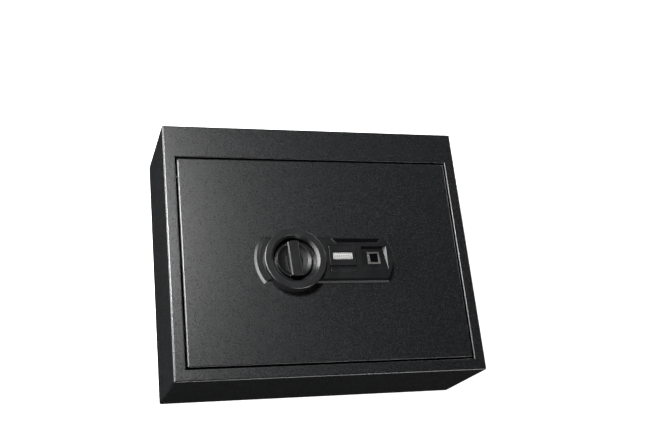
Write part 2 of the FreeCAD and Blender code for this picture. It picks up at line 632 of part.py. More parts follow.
def knob_drive():
    centre = ("knob_x", "knob_y")
    bush = turned_part("knob_bush", [
        ("spindle_radius + pin_fit", "%s - bush_thick" % LID_UNDER),
        ("bush_flange", "%s - bush_thick" % LID_UNDER),
        ("bush_flange", LID_UNDER), ("bush_radius", LID_UNDER),
        ("bush_radius", "height + ring_floor"),
        ("spindle_radius + pin_fit", "height + ring_floor")], *centre)
    node(bush, "knob_bush")
    spindle = fuse("knob_spindle",
                   post("spindle_body", *centre, "disc_low", "height + socket_top", "spindle_radius"),
                   post("spindle_thread", *centre, "nut_low - 0.6", "disc_low", "spindle_end"))
    node(spindle, "knob_spindle")
    nut = hexagon("spindle_nut_blank", (*centre, "nut_low"), "nut_flats", "disc_low - nut_low")
    node(cut("spindle_nut", nut, post("nut_bore", *centre, "nut_low - 1", "disc_low + 1", "spindle_end")),
         "spindle_nut")
    pin_spot = ("knob_x - crank_arm * sqrt(0.5)", "knob_y + crank_arm * sqrt(0.5)")
    disc = post("disc_blank", *centre, "disc_low", "disc_high", "disc_radius")
    tall = ("disc_low - 1", "disc_high + 1")
    rear_notch = block("rear_notch", ("knob_x - notch_wide / 2", "knob_x + notch_wide / 2"),
                       ("knob_y + disc_radius - notch_deep", "knob_y + disc_radius + 1"), tall)
    side_notch = block("side_notch", ("knob_x + disc_radius - notch_deep", "knob_x + disc_radius + 1"),
                       ("knob_y - notch_wide / 2", "knob_y + notch_wide / 2"), tall)
    node(cut("crank_disc", disc, rear_notch, side_notch,
             post("disc_bore", *centre, *tall, "spindle_radius"),
             post("pin_bore", *pin_spot, *tall, "crank_pin_radius")), "crank_disc")
    node(post("crank_pin", *pin_spot, "crank_pin_low", "disc_high", "crank_pin_radius"), "crank_pin")


# ---------------------------------------------------------------- bolt work

STUDS = [("-stud_x", "stud_y"), ("stud_x", "stud_y"), ("rear_stud_x", "rear_stud_y")]


def bolt_carriage():
    """T-shaped slide plate with a yoke slot for the crank pin and an upturned front edge."""
    body = new_body("carriage_blank")
    outline = polygon(sketch_on(body, "XY_Plane", "carriage_low"), [
        ("-carriage_half", "carriage_front"), ("carriage_half", "carriage_front"),
        ("carriage_half", "carriage_rear"), ("tongue_right", "carriage_rear"),
        ("tongue_right", "tongue_rear"), ("tongue_left", "tongue_rear"),
        ("tongue_left", "carriage_rear"), ("-carriage_half", "carriage_rear")])
    pad(body, outline, "carriage_thick")
    slots = sketch_on(body, "XY_Plane", CARRIAGE_TOP)
    yoke_y = "knob_y + crank_arm * sqrt(0.5)"
    rectangle(slots, ("yoke_left", "yoke_right"),
              ("%s - yoke_wide / 2" % yoke_y, "%s + yoke_wide / 2" % yoke_y))
    for sign in (-1, 1):
        rectangle(slots, ("%d * bolt_x - 6" % sign, "%d * bolt_x + 6" % sign),
                  ("carriage_front + carriage_thick", "carriage_front + 12"))
    pocket(body, slots, "carriage_thick")
    lip = sketch_on(body, "XY_Plane", CARRIAGE_TOP)
    rectangle(lip, ("-carriage_half", "carriage_half"),
              ("carriage_front", "carriage_front + carriage_thick"))
    pad(body, lip, "carriage_lip - (%s)" % CARRIAGE_TOP)
    holes = [rod("thread_hole", (x, "carriage_front - 1", "bolt_z"), "bolt_thread",
                 "carriage_thick + 2", "y") for x in ("-bolt_x", "bolt_x")]
    wide = "stud_radius + stud_fit"
    tall = ("carriage_low - 1", CARRIAGE_TOP + " + 1")
    for x, y in STUDS:
        far = "(%s) + %s" % (y, BOLT_TRAVEL)
        holes += [post("slot_end", x, end, *tall, wide) for end in (y, far)]
        holes.append(block("slot_middle", ("%s - (%s)" % (x, wide), "%s + %s" % (x, wide)), (y, far), tall))
    node(cut("bolt_carriage", body, *holes), "bolt_carriage")


def bolts_and_studs():
    bolts = []
    nuts = []
    for x in ("-bolt_x", "bolt_x"):
        barrel = rod("bolt_barrel", (x, "bolt_tip + 1", "bolt_z"), "bolt_radius",
                     "carriage_front - bolt_tip - 1", "y")
        nose = doc.addObject("Part::Cone", "bolt_nose")
        nose.Placement = FreeCAD.Placement(FreeCAD.Vector(), TURNED["y"])
        bind(nose, Radius1="bolt_radius - 1", Radius2="bolt_radius", Height="1")
        place(nose, x, "bolt_tip", "bolt_z")
        thread = rod("bolt_thread_end", (x, "carriage_front", "bolt_z"), "bolt_thread",
                     "carriage_thick + bolt_nut + 1", "y")
        bolts.append(fuse("locking_bolt", barrel, nose, thread))
        inner = "carriage_front + carriage_thick"
        blank = hexagon("bolt_nut_blank", (x, inner, "bolt_z"), "8", "bolt_nut", "y")
        bore = rod("bolt_nut_bore", (x, inner + " - 1", "bolt_z"), "bolt_thread", "bolt_nut + 2", "y")
        nuts.append(cut("bolt_nut_one", blank, bore))
    node(group("locking_bolts", *bolts), "locking_bolts")
    node(group("bolt_nuts", *nuts), "bolt_nuts")
    studs = []
    washers = []
    for x, y in STUDS:
        shoulder = post("stud_shoulder", x, y, CARRIAGE_TOP + " + 0.2", LID_UNDER, "stud_head")
        shank = post("stud_shank", x, y, "carriage_low - 0.3", CARRIAGE_TOP + " + 0.2", "stud_radius")
        neck = post("stud_neck", x, y, "carriage_low - 2", "carriage_low - 0.3", "bolt_thread")
        studs.append(fuse("guide_stud", shoulder, shank, neck))
        ring = post("washer_blank", x, y, "carriage_low - 1.3", "carriage_low - 0.3", "washer_radius")
        hole = post("washer_hole", x, y, "carriage_low - 2", "carriage_low", "bolt_thread")
        washers.append(cut("washer", ring, hole))
    node(group("guide_studs", *studs), "guide_studs")
    node(group("guide_washers", *washers), "guide_washers")


def solenoid():
    """Small frame solenoid whose plunger drops into a notch of the crank disc."""
    across = ("knob_x - frame_half", "knob_x + frame_half")
    tall = ("frame_low", LID_UNDER)
    front = block("frame_front", across, ("coil_front - frame_thick", "coil_front"), tall)
    rear = block("frame_rear", across, ("coil_rear", "coil_rear + frame_thick"), tall)
    floor = block("frame_floor", across, ("coil_front", "coil_rear"), ("frame_low", "frame_low + 1.5"))
    bore = rod("frame_bore", ("knob_x", "coil_front - 5", "coil_z"), "plunger_radius + stud_fit",
               "coil_rear - coil_front + 10", "y")
    node(cut("solenoid_frame", fuse("frame_sides", front, rear, floor), bore), "solenoid_frame")
    winding = rod("coil_blank", ("knob_x", "coil_front", "coil_z"), "coil_radius",
                  "coil_rear - coil_front", "y")
    core = rod("coil_bore", ("knob_x", "coil_front - 1", "coil_z"), "plunger_radius + stud_fit",
               "coil_rear - coil_front + 2", "y")
    node(cut("solenoid_coil", winding, core), "solenoid_coil")
    stem = rod("plunger_stem", ("knob_x", "plunger_tip", "coil_z"), "plunger_radius",
               "plunger_tail - plunger_tip", "y")
    collar = rod("plunger_collar", ("knob_x", "plunger_tail - 2", "coil_z"), "plunger_collar", "2", "y")
    node(fuse("solenoid_plunger", stem, collar), "solenoid_plunger")


# ---------------------------------------------------------------- key lock and its cover

def key_lock():
    centre = ("key_x", "key_y")
    head_top = PANEL_LEDGE + " + 1.8"
    barrel = turned_part("key_barrel", [
        ("plug_radius + pin_fit", "barrel_low"), ("barrel_radius", "barrel_low"),
        ("barrel_radius", PANEL_LEDGE), ("barrel_head", PANEL_LEDGE), ("barrel_head", head_top),
        ("plug_radius + pin_fit", head_top)], *centre)
    node(barrel, "key_barrel")
    nut = hexagon("key_nut_blank", (*centre, LID_UNDER + " - 3"), "22", "3")
    bore = post("key_nut_bore", *centre, LID_UNDER + " - 4", "height", "barrel_radius")
    node(cut("key_nut", nut, bore), "key_nut")
    plug = fuse("plug_blank", post("plug_body", *centre, "barrel_low", head_top, "plug_radius"),
                post("plug_tail", *centre, "cam_low", "barrel_low", "3"))
    keyway = block("keyway", ("key_x - 0.8", "key_x + 0.8"), ("key_y - 3.4", "key_y + 3.4"),
                   ("height - 8", "height + 20"))
    node(cut("key_plug", plug, keyway), "key_plug")
    arm = block("cam_arm", ("key_x - cam_wide / 2", "key_x + cam_wide / 2"),
                ("key_y", "key_y + cam_reach"), ("cam_low", "cam_high"))
    boss = post("cam_boss", *centre, "cam_low", "cam_high", "cam_wide / 2 + 1.5")
    bore = post("cam_bore", *centre, "cam_low - 1", "cam_high + 1", "3")
    node(cut("key_cam", fuse("cam_blank", arm, boss), bore), "key_cam")
    node(post("cam_screw", *centre, "cam_low - 1.1", "cam_low", "4"), "cam_screw")


def key_cover():
    """Pull-off cap over the key lock, with ribbed finger grips and a step at its front."""
    body = new_body("cover_blank")
    outline = ((COVER_LEFT, COVER_RIGHT), (COVER_FRONT, COVER_REAR))
    pad(body, rectangle(sketch_on(body, "XY_Plane", PANEL_LEDGE), *outline), "cover_top - panel_base")
    top = value(COVER_HIGH)
    fillet(body, "cover_round", lambda edge: level(edge, top) or edge.BoundBox.ZLength > 2)
    inside = ((COVER_LEFT + " + cover_wall", COVER_RIGHT + " - cover_wall"),
              (COVER_FRONT + " + cover_wall", COVER_REAR + " - cover_wall"))
    pocket(body, rectangle(sketch_on(body, "XY_Plane", PANEL_LEDGE), *inside),
           "cover_top - panel_base - cover_skin", upward=True)
    step = sketch_on(body, "YZ_Plane", COVER_LEFT + " - 1")
    polygon(step, [(COVER_FRONT + " + step_rear", COVER_HIGH + " + 1"),
                   (COVER_FRONT + " + step_rear", COVER_HIGH + " - cover_step"),
                   (COVER_FRONT + " + step_front", COVER_HIGH + " - cover_step / 4"),
                   (COVER_FRONT + " + step_front", COVER_HIGH + " + 1")])
    pocket(body, step, "cover_wide + 2", upward=True)
    seat = (("badge_x - badge_wide / 2 - badge_fit", "badge_x + badge_wide / 2 + badge_fit"),
            ("badge_y - badge_long / 2 - badge_fit", "badge_y + badge_long / 2 + badge_gap"))
    pocket(body, rectangle(sketch_on(body, "XY_Plane", COVER_HIGH), *seat), "badge_sunk")
    count = 15
    ribs = [post("grip_rib", "%s %s" % (edge, inset),
                 "key_y + rib_pitch * %g" % (i - (count - 1) / 2),
                 COVER_HIGH + " - 2", COVER_HIGH + " + 1", "rib_radius")
            for edge, inset in ((COVER_LEFT, "+ 0.1"), (COVER_RIGHT, "- 0.1")) for i in range(count)]
    node(cut("key_cover", body, *ribs), "key_cover")
    badge = new_body("cover_plate")
    outline = (("badge_x - badge_wide / 2", "badge_x + badge_wide / 2"),
               ("badge_y - badge_long / 2", "badge_y + badge_long / 2"))
    pad(badge, rectangle(sketch_on(badge, "XY_Plane", COVER_HIGH + " - badge_sunk"), *outline),
        "badge_thick")
    fillet(badge, "badge_round", lambda edge: edge.BoundBox.ZLength > value("badge_thick") / 2)
    node(badge, "cover_plate")


# ---------------------------------------------------------------- inside of the lid

def inner_cover():
    """Sheet that closes the lid's underside, with the battery hatch and its door rails."""
    edge = "(lid_wall + inner_gap)"
    sheet = block("inner_blank", ("-(%s) + %s" % (LID_HALF, edge), "%s - %s" % (LID_HALF, edge)),
                  ("%s + %s" % (LID_FRONT, edge), "%s - %s" % (LID_REAR, edge)),
                  ("inner_low", INNER_TOP))
    tools = [block("hatch", ("tray_left + 3", "tray_right - 3"), ("tray_front + 3", "tray_rear - 3"),
                   ("inner_low - 1", INNER_TOP + " + 1")),
             post("button_hole", "button_x", "button_y", "inner_low - 1", INNER_TOP + " + 1",
                  "button_radius + 0.2")]
    tools += [post("cover_hole", x, y, "inner_low - 1", INNER_TOP + " + 1", "screw_radius")
              for x, y in POSTS]
    along = ("tray_left - 4", "rail_end")
    lip = ("door_low - 1.4", "door_low - 0.2")
    web = ("door_low - 0.2", "inner_low")
    front, rear = "tray_front - door_margin", "tray_rear + door_margin"
    rails = [block("front_web", along, (front + " - 2", front + " - 0.3"), web),
             block("front_lip", along, (front + " - 2", front + " + 2"), lip),
             block("rear_web", along, (rear + " + 0.3", rear + " + 2"), web),
             block("rear_lip", along, (rear + " - 2", rear + " + 2"), lip)]
    node(fuse("inner_cover", cut("inner_sheet", sheet, *tools), *rails), "inner_cover")
    door = block("door_plate", ("tray_left - door_margin", "tray_right + door_margin"), (front, rear),
                 ("door_low", "door_low + door_thick"))
    grips = [block("door_groove", ("tray_left + %d" % (4 + 3 * i), "tray_left + %g" % (5.2 + 3 * i)),
                   ("tray_front + 18", "tray_rear - 18"), ("door_low - 1", "door_low + 0.5"))
             for i in range(4)]
    node(cut("battery_door", door, *grips), "battery_door")
    posts = []
    for x, y in POSTS:
        blank = post("post_blank", x, y, INNER_TOP, LID_UNDER, "post_radius")
        posts.append(cut("cover_post", blank, post("post_bore", x, y, "inner_low", INNER_TOP + " + 6",
                                                   "screw_radius")))
    node(group("cover_posts", *posts), "cover_posts")
    screws("cover_screws", POSTS, "inner_low - 1.4", "inner_low", INNER_TOP + " + 5")


def battery_pack():
    wide, long = ("tray_left", "tray_right"), ("tray_front", "tray_rear")
    outer = block("tray_outer", wide, long, ("tray_low", LID_UNDER))
    inner = block("tray_inner", ("tray_left + tray_wall", "tray_right - tray_wall"),
                  ("tray_front + tray_wall", "tray_rear - tray_wall"),
                  ("tray_low - 1", "cell_z + cell_radius + 0.1"))
    node(cut("battery_tray", outer, inner), "battery_tray")
    cells = []
    contacts = []
    start = "tray_left + tray_wall + 4.5"
    for index in range(4):
        y = "(tray_front + tray_rear) / 2 + cell_pitch * %g" % (index - 1.5)
        can = rod("cell_can", (start, y, "cell_z"), "cell_radius", "cell_long", "x")
        cap = rod("cell_cap", (start + " + cell_long", y, "cell_z"), "2.6", "1.3", "x")
        cells.append(fuse("cell", can, cap))
        contacts.append(rod("contact_spring", ("tray_left + tray_wall", y, "cell_z"), "3", "4.5", "x"))
        contacts.append(rod("contact_plate", (start + " + cell_long + 1.3", y, "cell_z"), "4",
                            "tray_right - tray_wall - (%s) - cell_long - 1.3" % start, "x"))
    node(group("batteries", *cells), "batteries")
    node(group("battery_contacts", *contacts), "battery_contacts")


def electronics():
    """Circuit board on four posts, its larger parts, and the enrol button under it."""
    node(block("circuit_board", ("board_left", "board_right"), ("board_front", "board_rear"),
               ("board_low", "board_low + board_thick")), "circuit_board")
    corners = [("board_%s" % side, "board_%s" % end) for side in ("left + 4", "right - 4")
               for end in ("front + 4", "rear - 4")]
    node(group("board_posts", *[post("board_post", x, y, "board_low + board_thick", LID_UNDER, "2.5")
                                for x, y in corners]), "board_posts")

    def chip(name, x, y, half_x, half_y, high):
        return block(name, ("%g" % (x - half_x), "%g" % (x + half_x)),
                     ("%g" % (y - half_y), "%g" % (y + half_y)), ("board_low - %g" % high, "board_low"))

    pieces = [chip("processor", 2, 40, 6, 6, 1.6), chip("memory", 20, 34, 4, 3, 1.4),
              chip("relay", 0, 62, 5, 7.5, 6), chip("reader_plug", 40, 30, 3, 5, 4),
              chip("battery_plug", 40, 60, 3, 5, 4), chip("solenoid_plug", -11, 30, 2.5, 4, 4)]
    pieces += [post("capacitor", "%d" % x, "50", "board_low - 7", "board_low", "3") for x in (24, 32)]
    pieces.append(post("buzzer", "18", "48", "board_low - 5", "board_low", "4.4"))
    pieces.append(block("switch", ("button_x - 3", "button_x + 3"), ("button_y - 3", "button_y + 3"),
                        ("board_low - 5.5", "board_low")))
    node(group("board_parts", *pieces), "board_parts")
    cap = post("button_cap", "button_x", "button_y", "inner_low - 1.2", "board_low - 7.1", "button_radius")
    flange = post("button_flange", "button_x", "button_y", INNER_TOP + " + 0.1", INNER_TOP + " + 1.1",
                  "button_radius + 1.2")
    node(fuse("enrol_button", cap, flange), "enrol_button")


def lead(points, radius, bend=2.2):
    """Round wire along straight runs joined by tangent arcs."""
    corners = [FreeCAD.Vector(*point) for point in points]
    edges = []
    start = corners[0]
    for before, corner, after in zip(corners, corners[1:], corners[2:]):
        back = (before - corner).normalize()
        ahead = (after - corner).normalize()
        half = back.getAngle(ahead) / 2
        reach = bend / math.tan(half)
        middle = corner + (back + ahead).normalize() * (bend / math.sin(half) - bend)
        first, last = corner + back * reach, corner + ahead * reach
        edges.append(Part.LineSegment(start, first).toShape())
        edges.append(Part.Arc(first, middle, last).toShape())
        start = last
    edges.append(Part.LineSegment(start, corners[-1]).toShape())
    path = Part.Wire(edges)
    ring = Part.Circle(corners[0], (corners[1] - corners[0]).normalize(), radius).toShape()
    return path.makePipeShell([Part.Wire(ring)], True, True)


def wiring():
    """Three leads from the reader, the battery tray and the solenoid to the board's plugs."""
    top = value(LID_UNDER)
    plug = value("board_low - 2")
    reader_x, reader_y = value(CABLE_HOLE[0]), value(CABLE_HOLE[1])
    tray = value("tray_left")
    side = value("knob_x + frame_half")
    routes = [
        [(reader_x, reader_y, top + 2), (reader_x, reader_y, top - 3), (50, 8, top - 3),
         (50, 30, top - 3), (50, 30, plug), (43, 30, plug)],
        [(tray, 66, plug), (49.5, 66, plug), (49.5, 60, plug), (43, 60, plug)],
        [(side, 24, plug), (-20, 24, plug), (-20, 30, plug), (-13.5, 30, plug)]]
    wires = doc.addObject("Part::Feature", "lead_wires")
    wires.Shape = Part.makeCompound([lead(route, 1) for route in routes])
    wires.Placement = FreeCAD.Placement()
    node(wires, "lead_wires")


# ---------------------------------------------------------------- assembly

case_shell()
floor_parts()
lid_stops()
hinges()
lid_pan()
lock_panel()
reader()
status_window()
guard_ring()
screws("panel_screws", PANEL_SCREWS, LID_UNDER + " - 2", LID_UNDER, "height + 5")
screws("ring_screws", RING_SCREWS, LID_UNDER + " - 2", LID_UNDER, "height + 6")
turn_knob()
knob_drive()
bolt_carriage()
bolts_and_studs()
solenoid()
key_lock()
key_cover()
inner_cover()
battery_pack()
electronics()
wiring()
doc.recompute()

for item in doc.Objects:
    if any(word in state for state in item.State for word in ("Invalid", "Error")):
        raise RuntimeError("%s failed: %s" % (item.Label, item.State))
for part in nodes:
    if part.Shape.isNull() or not part.Shape.isValid() or part.Shape.Volume < 1:
        raise RuntimeError("%s has no valid solid" % part.Label)

os.makedirs("parts", exist_ok=True)
for part in nodes:
    part.Shape.exportStep("parts/%s.step" % part.Label)
print("wrote %d parts" % len(nodes))
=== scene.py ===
import json
import math

import bmesh
import bpy
from mathutils import Matrix, Vector


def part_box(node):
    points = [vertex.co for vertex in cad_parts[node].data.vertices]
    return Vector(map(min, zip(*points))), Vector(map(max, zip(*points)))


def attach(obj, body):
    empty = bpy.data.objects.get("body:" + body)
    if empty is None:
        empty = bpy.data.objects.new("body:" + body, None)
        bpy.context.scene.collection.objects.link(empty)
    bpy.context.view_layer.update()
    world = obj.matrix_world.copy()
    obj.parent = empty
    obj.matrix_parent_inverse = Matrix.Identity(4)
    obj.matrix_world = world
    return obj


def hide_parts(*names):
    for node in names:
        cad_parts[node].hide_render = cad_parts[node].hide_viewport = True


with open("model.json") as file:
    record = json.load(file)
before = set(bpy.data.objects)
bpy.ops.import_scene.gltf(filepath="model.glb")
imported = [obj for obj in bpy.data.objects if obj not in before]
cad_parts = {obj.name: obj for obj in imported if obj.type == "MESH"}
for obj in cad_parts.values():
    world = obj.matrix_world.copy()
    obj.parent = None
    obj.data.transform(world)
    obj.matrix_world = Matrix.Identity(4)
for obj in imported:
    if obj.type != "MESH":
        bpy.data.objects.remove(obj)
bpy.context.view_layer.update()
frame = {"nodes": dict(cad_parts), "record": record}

# ---------------------------------------------------------------- small tools

MM = 0.001
# socket numbers of a colour Mix node, whose sockets share their names
MIX_FACTOR, MIX_FIRST, MIX_SECOND, MIX_COLOUR = 0, 6, 7, 2


def node_at(tree, kind, x, y, **inputs):
    """Shader node with its inputs set by name."""
    item = tree.nodes.new(kind)
    item.location = (x, y)
    for name, setting in inputs.items():
        item.inputs[name.replace("_", " ")].default_value = setting
    return item


def new_material(name, colour, roughness, metallic=0.0, **sockets):
    """Principled material with plain numbers on its own sockets."""
    material = bpy.data.materials.new(name)
    material.use_nodes = True
    shader = material.node_tree.nodes["Principled BSDF"]
    shader.inputs["Base Color"].default_value = (*colour, 1.0)
    shader.inputs["Roughness"].default_value = roughness
    shader.inputs["Metallic"].default_value = metallic
    for socket, setting in sockets.items():
        shader.inputs[socket.replace("_", " ")].default_value = setting
    material.diffuse_color = (*colour, 1.0)
    return material, material.node_tree, shader


def object_coordinates(tree):
    return node_at(tree, "ShaderNodeTexCoord", -1400, 0).outputs["Object"]


def noise(tree, coordinates, scale, detail=2.0, roughness=0.5, y=0):
    item = node_at(tree, "ShaderNodeTexNoise", -1100, y,
                   Scale=scale, Detail=detail, Roughness=roughness)
    tree.links.new(coordinates, item.inputs["Vector"])
    return item.outputs["Fac"]


def spread(tree, value, low, high, to_low, to_high, x=-800, y=0):
    """Value rescaled from one range to another and clamped."""
    item = node_at(tree, "ShaderNodeMapRange", x, y)
    item.inputs["From Min"].default_value = low
    item.inputs["From Max"].default_value = high
    item.inputs["To Min"].default_value = to_low
    item.inputs["To Max"].default_value = to_high
    tree.links.new(value, item.inputs["Value"])
    return item.outputs["Result"]


def blend_colour(tree, factor, first, second, x=-500, y=200):
    """Mix of two colours, each given as a tuple or as a socket."""
    item = tree.nodes.new("ShaderNodeMix")
    item.data_type = "RGBA"
    item.location = (x, y)
    tree.links.new(factor, item.inputs[MIX_FACTOR])
    for number, colour in ((MIX_FIRST, first), (MIX_SECOND, second)):
        socket = item.inputs[number]
        if isinstance(colour, tuple):
            socket.default_value = (*colour, 1.0)
        else:
            tree.links.new(colour, socket)
    return item.outputs[MIX_COLOUR]


def bump(tree, height, strength, distance, normal=None, x=-300, y=-300):
    item = node_at(tree, "ShaderNodeBump", x, y, Strength=strength, Distance=distance)
    tree.links.new(height, item.inputs["Height"])
    if normal is not None:
        tree.links.new(normal, item.inputs["Normal"])
    return item.outputs["Normal"]


def shade(colour, factor):
    """The same colour, lighter or darker."""
    return tuple(part * factor for part in colour)


def worn_edges(tree, radius, x=-1100, y=600):
    """1 near convex edges: the bevelled normal leaves the true one."""
    bevel = node_at(tree, "ShaderNodeBevel", x, y, Radius=radius)
    geometry = node_at(tree, "ShaderNodeNewGeometry", x, y - 200)
    dot = tree.nodes.new("ShaderNodeVectorMath")
    dot.operation = "DOT_PRODUCT"
    dot.location = (x + 200, y)
    tree.links.new(bevel.outputs["Normal"], dot.inputs[0])
    tree.links.new(geometry.outputs["Normal"], dot.inputs[1])
    return spread(tree, dot.outputs["Value"], 0.995, 0.9, 0.0, 1.0, x + 400, y)


# ---------------------------------------------------------------- materials

def powder_coat(name, colour, painted_glint):
    """Textured powder coat: fine orange peel, scattered lighter grains painted in as glints of the coat's
    sparkle, slightly rubbed edges.
    """
    material, tree, shader = new_material(name, colour, 0.33, Specular_IOR_Level=0.85)
    where = object_coordinates(tree)
    peel = noise(tree, where, 900)
    coarse = noise(tree, where, 850, 1.0, y=-250)
    grains = noise(tree, where, 1150, 1.0, 0.4, y=250)
    patches = noise(tree, where, 9, 3.0, y=500)
    patchy = spread(tree, patches, 0.3, 0.7, 0.0, 1.0, y=500)
    # painted glints: scattered grains take a lighter colour in place of light glinting off the coat
    glint_grains = spread(tree, grains, 0.62, 0.74, 0.0, 1.0, y=250)
    rubbed = spread(tree, worn_edges(tree, 0.5 * MM), 0.3, 1.0, 0.0, 0.2, -600, 600)
    base = blend_colour(tree, patchy, colour, shade(colour, 1.25), -500, 400)
    base = blend_colour(tree, glint_grains, base, painted_glint, -350, 250)
    base = blend_colour(tree, rubbed, base, shade(colour, 2.0), -200, 400)
    rough = spread(tree, peel, 0.3, 0.7, 0.25, 0.35, y=-100)
    relief = bump(tree, coarse, 0.55, 0.18 * MM)
    relief = bump(tree, peel, 0.35, 0.10 * MM, relief, -150, -400)
    tree.links.new(base, shader.inputs["Base Color"])
    tree.links.new(rough, shader.inputs["Roughness"])
    tree.links.new(relief, shader.inputs["Normal"])
    return material


def moulded_plastic(name, colour, roughness, grain=900, relief=0.03, smudge=0.03, shine=0.5):
    """Moulded plastic with a fine spark-eroded grain and faint handling marks."""
    material, tree, shader = new_material(name, colour, roughness, Specular_IOR_Level=shine)
    where = object_coordinates(tree)
    fine = noise(tree, where, grain, 2.0, 0.5)
    marks = noise(tree, where, 45, 4.0, 0.6, y=300)
    rough = spread(tree, marks, 0.35, 0.65, roughness - smudge, roughness + smudge, y=300)
    tree.links.new(rough, shader.inputs["Roughness"])
    handled = spread(tree, marks, 0.3, 0.7, 0.0, 1.0, y=100)
    tone = blend_colour(tree, handled, colour, shade(colour, 1.3), -500, 300)
    tree.links.new(tone, shader.inputs["Base Color"])
    tree.links.new(bump(tree, fine, relief, 0.02 * MM), shader.inputs["Normal"])
    return material


def brushed_metal(name, colour, roughness, along=(1, 0, 0), scale=900, relief=0.15):
    """Brushed or ground metal: streaks stretched along one axis."""
    material, tree, shader = new_material(name, colour, roughness, 1.0)
    where = object_coordinates(tree)
    stretch = node_at(tree, "ShaderNodeMapping", -1250, -100)
    stretch.inputs["Scale"].default_value = tuple(0.03 if part else 1.0 for part in along)
    tree.links.new(where, stretch.inputs["Vector"])
    streaks = noise(tree, stretch.outputs["Vector"], scale, 3.0, 0.6)
    clouds = noise(tree, where, 120, 3.0, 0.6, y=300)
    cloudy = spread(tree, clouds, 0.3, 0.7, 0.0, 1.0, y=300)
    tone = blend_colour(tree, cloudy, shade(colour, 0.82), colour, -500, 300)
    rough = spread(tree, streaks, 0.25, 0.75, roughness - 0.08, roughness + 0.12)
    tree.links.new(tone, shader.inputs["Base Color"])
    tree.links.new(rough, shader.inputs["Roughness"])
    tree.links.new(bump(tree, streaks, relief, 0.03 * MM), shader.inputs["Normal"])
    return material


def zinc_plate(name, colour):
    """Bright zinc with its crystalline mottling and a faint warm tint."""
    material, tree, shader = new_material(name, colour, 0.32, 1.0)
    where = object_coordinates(tree)
    cells = node_at(tree, "ShaderNodeTexVoronoi", -1100, 0, Scale=260)
    tree.links.new(where, cells.inputs["Vector"])
    clouds = noise(tree, where, 60, 4.0, 0.6, y=300)
    warm = (colour[0] * 1.02, colour[1] * 0.95, colour[2] * 0.8)
    cloudy = spread(tree, clouds, 0.35, 0.65, 0.0, 1.0, y=300)
    tone = blend_colour(tree, cloudy, colour, warm, -500, 300)
    rough = spread(tree, cells.outputs["Color"], 0.0, 1.0, 0.24, 0.42)
    tree.links.new(tone, shader.inputs["Base Color"])
    tree.links.new(rough, shader.inputs["Roughness"])
    tree.links.new(bump(tree, clouds, 0.05, 0.05 * MM), shader.inputs["Normal"])
    return material


def matt_rubber(name, colour):
    """Dull rubber with a little dust on it."""
    material, tree, shader = new_material(name, colour, 0.85)
    where = object_coordinates(tree)
    dust = noise(tree, where, 300, 4.0, 0.6)
    dusty = spread(tree, dust, 0.45, 0.7, 0.0, 1.0)
    tone = blend_colour(tree, dusty, colour, shade(colour, 1.8))
    tree.links.new(tone, shader.inputs["Base Color"])
    tree.links.new(bump(tree, dust, 0.2, 0.08 * MM), shader.inputs["Normal"])
    return material


def pile_fabric(name, colour):
    """Short flocked pile over foam: sheen, fine fibres and soft trodden patches."""
    material, tree, shader = new_material(name, colour, 0.95, Sheen_Weight=0.6, Sheen_Roughness=0.5)
    where = object_coordinates(tree)
    fibres = noise(tree, where, 1400, 4.0, 0.7)
    patches = noise(tree, where, 14, 3.0, 0.5, y=300)
    trodden = spread(tree, patches, 0.3, 0.7, 0.0, 1.0, y=300)
    tips = spread(tree, fibres, 0.45, 0.7, 0.0, 0.6)
    tone = blend_colour(tree, trodden, colour, shade(colour, 1.5), -600, 300)
    tone = blend_colour(tree, tips, tone, shade(colour, 2.2), -400, 200)
    tree.links.new(tone, shader.inputs["Base Color"])
    tree.links.new(bump(tree, fibres, 0.6, 0.4 * MM), shader.inputs["Normal"])
    return material


def smooth_gloss(name, colour, roughness=0.06):
    """Glass-like black with faint finger smears."""
    material, tree, shader = new_material(name, colour, roughness,
                                          Coat_Weight=0.5, Coat_Roughness=0.04)
    where = object_coordinates(tree)
    smears = noise(tree, where, 260, 3.0, 0.55)
    rough = spread(tree, smears, 0.4, 0.7, roughness, roughness + 0.16)
    tree.links.new(rough, shader.inputs["Roughness"])
    return material


def solder_mask(name, colour):
    """Green board with lighter tracks running over it."""
    material, tree, shader = new_material(name, colour, 0.35)
    where = object_coordinates(tree)
    tracks = node_at(tree, "ShaderNodeTexBrick", -1100, 0, Scale=260)
    tracks.inputs["Color1"].default_value = (*colour, 1.0)
    tracks.inputs["Color2"].default_value = (*shade(colour, 0.8), 1.0)
    tracks.inputs["Mortar"].default_value = (*shade(colour, 1.7), 1.0)
    tracks.inputs["Mortar Size"].default_value = 0.03
    tree.links.new(where, tracks.inputs["Vector"])
    tree.links.new(tracks.outputs["Color"], shader.inputs["Base Color"])
    tree.links.new(bump(tree, tracks.outputs["Fac"], 0.1, 0.05 * MM), shader.inputs["Normal"])
    return material


